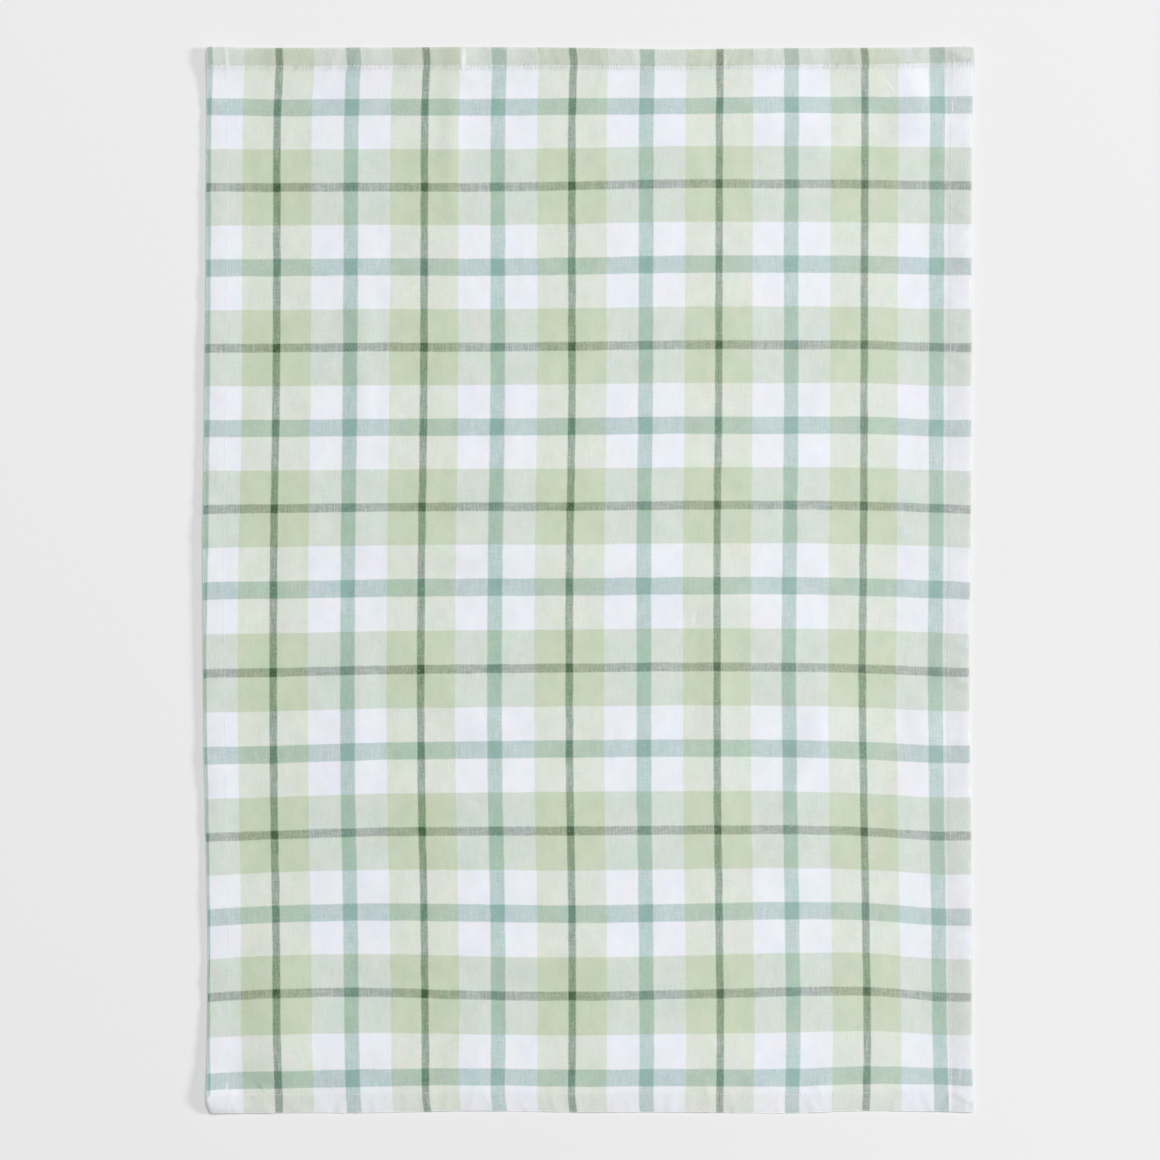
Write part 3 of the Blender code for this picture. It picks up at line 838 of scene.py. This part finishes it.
# How the doubled cloth of the four hems looks: share of grey in its colour, tone, how much deeper its colour
# is, how far the turned cloth's stripes show through, and how much painted light brightens its fold against
# the fold's shade. low is the left or bottom hem, high the right or top one; last, how far off the fold it
# reaches.
HemLook = namedtuple("HemLook", "grey tone deeper through glow")
HemPair = namedtuple("HemPair", "half_size stitch stripes low high glow_reach")
SIDE_HEMS = HemPair(
    0.5 * WIDTH, SIDE_STITCH, WARP,
    HemLook(0.10, 0.980, 0.0, 0.0, 0.18), HemLook(0.32, 0.955, 0.12, 0.04, 0.0), 2.6 * MM,
)
END_HEMS = HemPair(
    0.5 * LENGTH, END_STITCH, WEFT,
    HemLook(0.18, 0.955, 0.0, 0.04, 0.28), HemLook(0.30, 0.965, 0.0, 0.07, 0.0), 1.1 * MM,
)
HEM_BORDER = (3.0 * MM, 1.0 * MM)   # it fades from so far before the turned cloth's edge to so far past it
HEM_RAGGED = 1.1 * MM           # how far that edge strays
RAGGED_ACROSS = 1.0 * MM
RAGGED_ALONG = 4.0 * MM
THROUGH_RANGE = (0.38, 0.62)    # of the noise, over which stripes show through, up to twice as much
WEAR_AND_LIGHT_SHARE = 0.60               # the folds at the edges are paler, partly wear and partly painted light against their shade: share of a power of the colour
WEAR_AND_LIGHT_POWER = 0.6
WEAR_AND_LIGHT_REACH = 1.3 * MM           # and this far on both sides

# Relief in the material
WEAVE_RELIEF = 0.04 * MM
WARP_SLUB_RELIEF = 0.020 * MM
WEFT_SLUB_RELIEF = 0.012 * MM
CRINKLE_RELIEF = 0.045 * MM
CRINKLE_ACROSS = 6.0 * MM
CRINKLE_ALONG = 9.0 * MM


def hem_through(graph, face, place, hems, ragged):
    """The turned cloth under two opposite hems: greyer and darker, its stripes mirrored about the fold."""
    low, high = hems.low, hems.high
    distance = graph.math("ABSOLUTE", place)
    is_high = graph.math("GREATER_THAN", place, 0.0)
    depth = hems.stitch + FLAP_PAST_STITCH
    off_fold = graph.math("SUBTRACT", hems.half_size, distance)
    inset = graph.total(off_fold, graph.around(ragged, HEM_RAGGED))
    in_hem = graph.fall(inset, depth - HEM_BORDER[0], depth + HEM_BORDER[1])

    def by_hem(at_low, at_high):
        return graph.product(in_hem, graph.math("MULTIPLY_ADD", is_high, at_high - at_low, at_low))

    luminance = graph.add("ShaderNodeRGBToBW")
    graph.feed(luminance.inputs[0], face)
    face = graph.mix(by_hem(low.grey, high.grey), face, luminance.outputs[0])
    face = graph.brighten(face, graph.rest_of(by_hem(1.0 - low.tone, 1.0 - high.tone)))
    face = graph.power(face, graph.total(by_hem(low.deeper, high.deeper), 1.0))

    mirrored = graph.math("SUBTRACT", 2.0 * hems.half_size, distance)
    under = stripe_yarn(graph, graph.product(graph.math("SIGN", place), mirrored), hems.stripes)[0]
    through = graph.product(by_hem(low.through, high.through), graph.smooth_step(ragged, *THROUGH_RANGE), 2.0)
    face = graph.mix(through, face, under, "MULTIPLY")
    # the folds at the edges made paler: partly wear, partly painted light against their shade
    wear_and_light = graph.fall(graph.math("ABSOLUTE", inset), 0.0, WEAR_AND_LIGHT_REACH)
    face = graph.mix(graph.product(wear_and_light, WEAR_AND_LIGHT_SHARE), face, graph.power(face, WEAR_AND_LIGHT_POWER))
    # painted light, brightening the fold against its shade
    fold_light_mask = graph.fall(graph.math("ABSOLUTE", off_fold), 0.0, hems.glow_reach)
    return graph.brighten(face, graph.math("MULTIPLY_ADD", fold_light_mask, by_hem(low.glow, high.glow), 1.0))


def sharp_creases(graph, across, along):
    """Height of the sharp small creases, and how pale they are: partly pulled threads, partly painted
    highlight.
    """
    heights, pales = [], []
    for crease in SHARP_CREASES:
        turn = math.radians(crease.heading)
        from_x = graph.math("SUBTRACT", across, crease.x * MM)
        from_y = graph.math("SUBTRACT", along, crease.y * MM)

        def near(x_part, y_part, reach):
            away = graph.total(graph.product(from_x, x_part), graph.product(from_y, y_part))
            return graph.fall(graph.math("ABSOLUTE", away), 0.0, reach * MM)

        lengthwise = near(math.cos(turn), math.sin(turn), crease.half_length)
        on_crease = graph.product(lengthwise, near(-math.sin(turn), math.cos(turn), crease.half_width))
        heights.append(graph.product(on_crease, crease.height * MM))
        pales.append(graph.product(on_crease, crease.pale))
    return graph.total(*heights), graph.total(*pales)


def painted_pinch_shade(graph, along, pinch_shade, patches):
    """Tone of the painted shade at small pinches along the stitches of the two end hems: 1 where there is
    none.
    """
    line = 0.5 * LENGTH - END_STITCH
    off_line = graph.math("ABSOLUTE", graph.math("SUBTRACT", graph.math("ABSOLUTE", along), line))
    depth = graph.product(graph.smooth_step(pinch_shade, *TICK_RANGE), graph.smooth_step(patches, *PATCH_RANGE))
    at_top = graph.math("GREATER_THAN", along, 0.0)
    pinch_darkness = graph.math("MULTIPLY_ADD", at_top, PINCH_SHADE * (1.0 - LOW_PINCH_SHADE), PINCH_SHADE * LOW_PINCH_SHADE)
    return graph.rest_of(graph.product(depth, graph.fall(off_line, *TICK_REACH), pinch_darkness))


def cotton_material():
    """Plain weave of dyed yarns: warp and weft stripes cross, with slubs, and hems that show through."""
    graph = Graph("woven_cotton")
    across, along, _ = graph.split(graph.add("ShaderNodeUVMap", uv_map="flat").outputs[0])

    def noise(across_size, along_size, shift, detail=1.0, roughness=0.5):
        """Noise with lumps of this size. The shift sets each noise apart from the others."""
        place = graph.vector(
            graph.math("ADD", graph.math("DIVIDE", across, across_size), shift),
            graph.math("DIVIDE", along, along_size),
        )
        return graph.noise(place, detail, roughness)

    # Yarns stray a little from their lines, and some are pulled under at the low left corner
    at_end = graph.smooth_step(graph.product(along, -1.0), *PULL_AT_END)
    warp_place = graph.total(
        across,
        graph.around(noise(WANDER_WIDTH, WANDER_LENGTH, 7.0), WANDER),
        graph.product(at_end, graph.fall(across, *PULL_AT_SIDE), LOW_LEFT_PULL),
    )
    weft_place = graph.total(along, graph.around(noise(WANDER_LENGTH, WANDER_WIDTH, 31.0), WANDER))
    warp, warp_cover = stripe_yarn(graph, warp_place, WARP)
    weft, weft_cover = stripe_yarn(graph, weft_place, WEFT)

    # Which yarn is on top: over and under, moved by thick and thin places of both yarns. Light scatters
    # between the two, so that their colours blend by square roots.
    weave = graph.product(
        *(graph.math("SINE", graph.product(place, math.pi / THREAD_PITCH)) for place in (across, along))
    )
    warp_slub = noise(STREAK_ACROSS, STREAK_ALONG, 3.0, detail=2.0, roughness=0.6)
    weft_slub = noise(BAR_ACROSS, BAR_ALONG, 11.0, detail=2.0, roughness=0.6)
    share = graph.total(
        graph.math("SUBTRACT", warp_cover, weft_cover),
        0.5,
        graph.product(weave, WEAVE_SHARE),
        graph.around(warp_slub, WARP_SLUB_SHARE),
        graph.around(weft_slub, WEFT_SLUB_SHARE),
        graph.around(noise(SPECK, SPECK, 19.0, roughness=0.6), SPECK_SHARE),
    )
    share = graph.math("MINIMUM", graph.math("MAXIMUM", share, 0.0), 1.0)
    face = graph.mix(share, weft, warp)
    face = graph.mix(1.0, face, face, "MULTIPLY")

    # Undyed flecks, painted haze and light to the right, a wandering hue, uneven grain, painted shade at
    # pinches
    fleck = graph.smooth_step(noise(FLECK_ACROSS, FLECK_ALONG, 71.0), *FLECK_RANGE)
    face = graph.mix(graph.product(fleck, FLECK_SHARE), face, FLECK_COLOUR)
    # a pale painted haze that grows towards the right
    haze_share = graph.math("MAXIMUM", graph.math("MULTIPLY_ADD", across, PAINTED_HAZE_SLOPE, 1.0), 0.0)
    face = graph.mix(graph.product(graph.math("POWER", haze_share, 2.0), PAINTED_HAZE), face, PALE_HAZE_AND_CREASE_COLOUR)

    def wander(shift, swing):
        return graph.around(noise(TINT_SIZE, TINT_SIZE, shift, detail=3.0, roughness=0.75), swing)

    # painted light: the cloth brighter towards the right
    rightward_light = graph.math("MULTIPLY_ADD", across, RIGHTWARD_PAINTED_LIGHT, 1.0)
    shared = wander(109.0, SHARED_TINT)
    pink = graph.math("MULTIPLY_ADD", shared, SHARED_PINK, rightward_light)
    green = graph.math("MULTIPLY_ADD", shared, SHARED_GREEN, rightward_light)
    tint = graph.vector(graph.total(pink, wander(83.0, TINT)), green, graph.total(pink, wander(97.0, TINT)))
    face = graph.mix(1.0, face, tint, "MULTIPLY")
    grain = graph.total(
        graph.around(noise(GRAIN_ACROSS, GRAIN_ALONG, 61.0, detail=3.0, roughness=0.6), GRAIN),
        graph.around(noise(FUZZ, FUZZ, 47.0), FUZZ_TONE),
    )
    face = graph.mix(1.0, face, graph.vector(grain, grain, grain), "ADD")
    # painted shade of small pinches at the end hems' stitches
    pinch_shade = painted_pinch_shade(graph, along, noise(TICK_ACROSS, TICK_ALONG, 53.0), noise(*TICK_PATCH, 67.0))
    face = graph.brighten(face, pinch_shade)

    ragged = noise(RAGGED_ACROSS, RAGGED_ALONG, 43.0)
    for place, hems in ((across, SIDE_HEMS), (along, END_HEMS)):
        face = hem_through(graph, face, place, hems, ragged)
    crease_height, pale = sharp_creases(graph, across, along)
    # pale marks along the sharp creases: partly pulled threads, partly painted highlight
    face = graph.mix(pale, face, PALE_HAZE_AND_CREASE_COLOUR)

    # Relief of the weave, the slubs, a soft crinkle and the sharp creases
    relief = graph.total(
        graph.product(graph.math("POWER", graph.math("ABSOLUTE", weave), 0.5), WEAVE_RELIEF),
        graph.around(warp_slub, WARP_SLUB_RELIEF),
        graph.around(weft_slub, WEFT_SLUB_RELIEF),
        graph.around(noise(CRINKLE_ACROSS, CRINKLE_ALONG, 57.0), CRINKLE_RELIEF),
        crease_height,
    )
    graph.shader.inputs["Sheen Weight"].default_value = 0.08
    graph.shader.inputs["Sheen Roughness"].default_value = 0.5
    return graph.shade(face, roughness=0.92, specular=0.2, relief=relief, strength=0.8)


THREAD_TONE = 0.83
THREAD_BLUE = 1.02              # of its tone
TWIST_PITCH = 0.35 * MM
TWIST_TONE = 0.03
TWIST_RELIEF = 0.02 * MM


def thread_material():
    """White sewing thread with a fine twist."""
    graph = Graph("sewing_thread")
    diagonal = graph.total(*graph.split(graph.add("ShaderNodeTexCoord").outputs["Object"]))
    twist = graph.math("SINE", graph.product(diagonal, 2.0 * math.pi / TWIST_PITCH))
    tone = graph.math("MULTIPLY_ADD", twist, TWIST_TONE, THREAD_TONE)
    colour = graph.vector(tone, tone, graph.product(tone, THREAD_BLUE))
    return graph.shade(colour, roughness=0.7, relief=graph.product(twist, TWIST_RELIEF), strength=0.6)


SURFACE_TONE = 0.80
SURFACE_PAINTED_LIGHT = 0.022           # painted light added towards its low right, from and to these metres from the middle
PALER_DOWN = (-0.15, 0.40)
PALER_RIGHT = (-0.05, 0.36)


def surface_material():
    """The pale surface, with painted light making it a little paler towards the low right of the picture."""
    graph = Graph("pale_surface")
    x, y, _ = graph.split(graph.add("ShaderNodeTexCoord").outputs["Object"])
    down = graph.smooth_step(graph.product(y, -1.0), *PALER_DOWN)
    paler = graph.product(down, graph.smooth_step(x, *PALER_RIGHT))
    # painted light: the surface a little brighter towards the low right
    tone = graph.math("MULTIPLY_ADD", paler, SURFACE_PAINTED_LIGHT, SURFACE_TONE)
    return graph.shade(graph.vector(tone, tone, tone), roughness=0.9, specular=0.1)


# ------------------------------------------------------------------------------
# Stage, light and camera

FLOOR_SIZE = 8.0
VIEW_WIDTH = 0.763              # what the square picture takes in at the towel
CAMERA_HEIGHT = 3.2
CAMERA_X = -0.0054              # the towel lies a little right of the picture's middle
SENSOR = 36.0

# A low, soft key from the right draws the shadow at the left edge; a wide soft light overhead fills the rest
Lamp = namedtuple("Lamp", "azimuth elevation distance size power")
LAMPS = {
    "soft_key": Lamp(4.0, 27.0, 8.5, 1.63, 344.0),      # azimuth: degrees from +X towards +Y
    "soft_overhead": Lamp(90.0, 75.0, 9.6, 6.5, 772.0),
}
ROOM_STRENGTH = 0.12


def build_stage():
    """The pale surface that the towel lies on."""
    bpy.ops.mesh.primitive_plane_add(size=FLOOR_SIZE)
    floor = bpy.context.object
    floor.name = "pale_surface"
    floor.data.materials.append(surface_material())


def build_light():
    """A dim room and two soft lamps."""
    world = bpy.data.worlds.new("soft_room")
    world.use_nodes = True
    background = world.node_tree.nodes["Background"]
    background.inputs["Color"].default_value = (1.0, 1.0, 1.0, 1.0)
    background.inputs["Strength"].default_value = ROOM_STRENGTH
    bpy.context.scene.world = world

    for name, lamp in LAMPS.items():
        light = bpy.data.lights.new(name, "AREA")
        light.shape = "SQUARE"
        light.size = lamp.size
        light.energy = lamp.power
        holder = bpy.data.objects.new(name, light)
        turn, rise = math.radians(lamp.azimuth), math.radians(lamp.elevation)
        holder.location = (
            lamp.distance * math.cos(rise) * math.cos(turn),
            lamp.distance * math.cos(rise) * math.sin(turn),
            lamp.distance * math.sin(rise),
        )
        holder.rotation_euler = (0.5 * math.pi - rise, 0.0, turn + 0.5 * math.pi)
        bpy.context.scene.collection.objects.link(holder)


def build_camera():
    """A long lens straight above, as in the photograph."""
    lens = bpy.data.cameras.new("above")
    lens.sensor_width = SENSOR
    lens.sensor_height = SENSOR
    lens.lens = SENSOR * CAMERA_HEIGHT / VIEW_WIDTH
    camera = bpy.data.objects.new("above", lens)
    camera.location = (CAMERA_X, 0.0, CAMERA_HEIGHT)
    bpy.context.scene.collection.objects.link(camera)
    bpy.context.scene.camera = camera


def main():
    cloth = build_cloth()
    cloth.data.materials.append(cotton_material())
    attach(cloth, "root")
    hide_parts(NODE)

    stitches = build_stitches()
    stitches.data.materials.append(thread_material())
    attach(stitches, "root")

    build_stage()
    build_light()
    build_camera()
    bpy.context.scene.view_settings.view_transform = "Standard"
    bpy.context.scene.view_settings.look = "None"


main()
